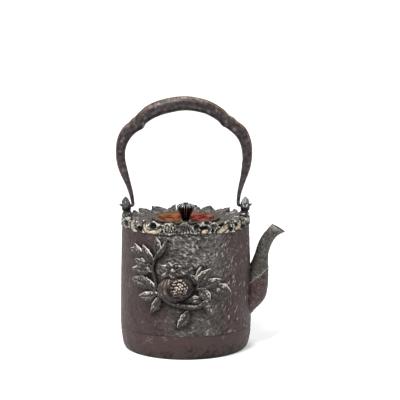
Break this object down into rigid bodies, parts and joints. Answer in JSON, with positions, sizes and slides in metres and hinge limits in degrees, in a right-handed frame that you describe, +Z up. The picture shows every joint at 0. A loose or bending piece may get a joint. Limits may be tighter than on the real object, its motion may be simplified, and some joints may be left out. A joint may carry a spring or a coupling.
{
  "type": "kettle",
  "caption": "Straight-sided cast-iron kettle with leafy torn rim, fruiting branch in relief, beaked spout, swinging hollow handle and a hollow-topped bronze lid with a fluted knob.",
  "frame": {"origin": "centre of the flat foot, on the table, on the body's axis", "axes": "+Z up, +X towards the spout, -Y towards the relief"},
  "size_m": [0.16, 0.1379, 0.2376],
  "materials": {
    "cast_iron": "dark brown-purple patinated cast iron, rocky",
    "relief_iron": "greyer, polished on the high spots",
    "handle_iron": "forged iron, satin, brown-gold on its edges",
    "pale_inlay": "pale matte inlay",
    "lid_bronze": "red-brown patinated bronze, satin",
    "knob_bronze": "near black, glossy"
  },
  "bodies": {
    "kettle": {"bottom_pan": "cast_iron", "kettle_wall": "cast_iron", "rim_crown": "cast_iron", "spout": "cast_iron", "lug_left": "cast_iron", "lug_right": "cast_iron", "rim_inlay_1": "pale_inlay", "rim_inlay_2": "pale_inlay", "rim_inlay_3": "pale_inlay", "rim_inlay_4": "pale_inlay", "rim_inlay_5": "pale_inlay", "rim_inlay_6": "pale_inlay", "rim_inlay_7": "pale_inlay", "rim_inlay_8": "pale_inlay", "fruit": "relief_iron", "fruit_seeds": "relief_iron", "fruit_calyx": "relief_iron", "relief_branch": "relief_iron", "spray_lower_left": "relief_iron", "spray_upper_left": "relief_iron", "spray_right": "relief_iron", "branch_leaf_inner": "relief_iron", "branch_leaf_hanging": "relief_iron"},
    "handle": {"handle_bow": "handle_iron", "handle_leg_left": "handle_iron", "handle_leg_right": "handle_iron"},
    "lid_centre": {"knob_rivet": "knob_bronze"},
    "lid": {"lid_plate": "lid_bronze", "lid_flange": "lid_bronze", "knob": "knob_bronze", "knob_washer": "knob_bronze", "knob_inner_washer": "knob_bronze"}
  },
  "joints": [
    {"name": "handle_swing", "type": "hinge", "parent": "kettle", "child": "handle", "pos_m": [0, 0, 0.1342], "axis": [1, 0, 0], "range_deg": [-90, 90]},
    {"name": "lid_lift", "type": "slide", "parent": "kettle", "child": "lid_centre", "axis": [0, 0, 1], "range_m": [0, 0.06]},
    {"name": "lid_turn", "type": "hinge", "parent": "lid_centre", "child": "lid", "pos_m": [0, 0, 0.12], "axis": [0, 0, 1], "continuous": true}
  ]
}
